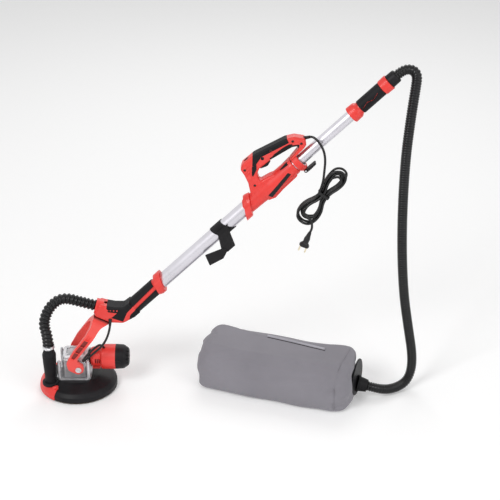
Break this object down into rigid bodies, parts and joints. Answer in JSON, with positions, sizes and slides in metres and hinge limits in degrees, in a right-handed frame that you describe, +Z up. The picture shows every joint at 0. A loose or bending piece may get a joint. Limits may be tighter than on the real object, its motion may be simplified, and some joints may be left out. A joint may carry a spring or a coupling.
{
  "type": "pole drywall sander",
  "caption": "Long-reach drywall sander: dust-shrouded rotating disc head in a tilting fork on a telescopic suction pole with handle, hose and dust bag.",
  "frame": {"origin": "centre of the sanding disc's face, on the floor", "axes": "+Z up, away from the floor; the pole rises towards +X in the XZ plane; +Y is away from the badge side of the handle"},
  "size_m": [1.1635, 0.2975, 1.045],
  "materials": {
    "red_plastic": "satin moulded",
    "fork_red": "satin moulded",
    "black_plastic": "fine grain",
    "black_rubber": "matte",
    "cast_metal": "sand cast",
    "steel": "turned",
    "tube_metal": "anodised",
    "copper": "wound",
    "hose_black": "glossy ribbed",
    "fabric_grey": "woven",
    "webbing": "woven",
    "abrasive": "gritty",
    "cord_black": "smooth",
    "brass": "plated"
  },
  "bodies": {
    "pole": {"lower_grip_left": "red_plastic", "lower_grip_right": "red_plastic", "lower_grip_sleeve": "black_rubber", "outer_tube": "tube_metal", "tube_bush": "black_plastic", "bag_strap": "webbing", "handle_shell_left": "red_plastic", "handle_shell_right": "red_plastic", "handle_overmould": "black_rubber", "badge_panel": "black_plastic", "trigger_switch": "black_plastic", "handle_screws": "steel", "cord_guard": "cord_black", "clamp_collar": "red_plastic", "clamp_pin": "steel", "cable_guard": "cord_black", "head_hose": "hose_black", "head_cable": "cord_black", "dust_hose": "hose_black", "bag_cuff": "black_rubber", "bag_ring": "black_plastic", "dust_bag": "fabric_grey", "mains_cord": "cord_black", "cord_hank": "cord_black", "cord_tie": "black_plastic", "plug": "cord_black", "plug_pins": "brass"},
    "fork": {"fork": "fork_red", "swivel_washer": "black_plastic", "pivot_screws": "steel"},
    "head": {"dust_shroud": "black_plastic", "brush_ring": "black_rubber", "dust_cuff": "black_rubber", "hose_clamp": "steel", "gearbox_housing": "cast_metal", "gearbox_cover": "cast_metal", "gearbox_bolts": "steel", "motor_collar": "black_plastic", "motor_housing": "red_plastic", "motor_end_cap": "black_plastic", "brush_caps": "black_plastic", "stator": "copper", "bearings": "steel"},
    "edge_guard": {"edge_guard": "red_plastic", "guard_brush": "black_rubber"},
    "pad": {"sanding_disc": "abrasive", "backing_pad": "black_rubber", "spindle": "steel", "crown_gear": "steel"},
    "rotor": {"armature": "steel", "bevel_pinion": "steel", "cooling_fan": "black_plastic"},
    "upper_pole": {"inner_tube": "tube_metal", "end_grip": "red_plastic", "end_grip_sleeve": "black_rubber", "hose_nozzle": "black_plastic"},
    "clamp_lever": {"clamp_lever": "black_plastic"},
    "trigger": {"trigger": "black_plastic"},
    "lock_button": {"lock_button": "black_plastic"},
    "speed_dial": {"speed_dial": "black_plastic"}
  },
  "joints": [
    {"name": "fork_swivel", "type": "hinge", "parent": "pole", "child": "fork", "pos_m": [0.008, 0, 0.088], "axis": [0.4337, 0, 0.9011], "range_deg": [-30, 30], "deforming": ["head_hose", "head_cable"]},
    {"name": "head_tilt", "type": "hinge", "parent": "fork", "child": "head", "pos_m": [0.008, 0, 0.088], "axis": [0, 1, 0], "range_deg": [-12, 35], "deforming": ["head_hose", "head_cable"]},
    {"name": "pad_spin", "type": "hinge", "parent": "head", "child": "pad", "pos_m": [0, 0, 0], "axis": [0, 0, 1], "continuous": true},
    {"name": "motor_spin", "type": "hinge", "parent": "head", "child": "rotor", "pos_m": [0.03, 0, 0.101], "axis": [1, 0, 0], "continuous": true},
    {"name": "guard_pull", "type": "slide", "parent": "head", "child": "edge_guard", "axis": [-1, 0, 0], "range_m": [0, 0.04]},
    {"name": "telescope", "type": "slide", "parent": "pole", "child": "upper_pole", "axis": [0.7193, 0, 0.6947], "range_m": [-0.1, 0.2], "deforming": ["dust_hose"]},
    {"name": "clamp_lever_swing", "type": "hinge", "parent": "pole", "child": "clamp_lever", "pos_m": [0.69028, 0, 0.72602], "axis": [0, 1, 0], "range_deg": [0, 100]},
    {"name": "trigger_pull", "type": "hinge", "parent": "pole", "child": "trigger", "pos_m": [0.55828, 0, 0.74035], "axis": [0, -1, 0], "range_deg": [0, 8], "stiffness_Nm_per_rad": 0.4, "springref_deg": -5.73},
    {"name": "lock_press", "type": "slide", "parent": "pole", "child": "lock_button", "axis": [0, 1, 0], "range_m": [0, 0.0025], "stiffness_N_per_m": 300, "springref_m": -0.001},
    {"name": "speed_turn", "type": "hinge", "parent": "pole", "child": "speed_dial", "pos_m": [0.52665, 0, 0.75151], "axis": [0, 1, 0], "range_deg": [0, 270]}
  ],
  "couplings": [
    {"joint": "motor_spin", "follows": "pad_spin", "ratio": 3}
  ]
}
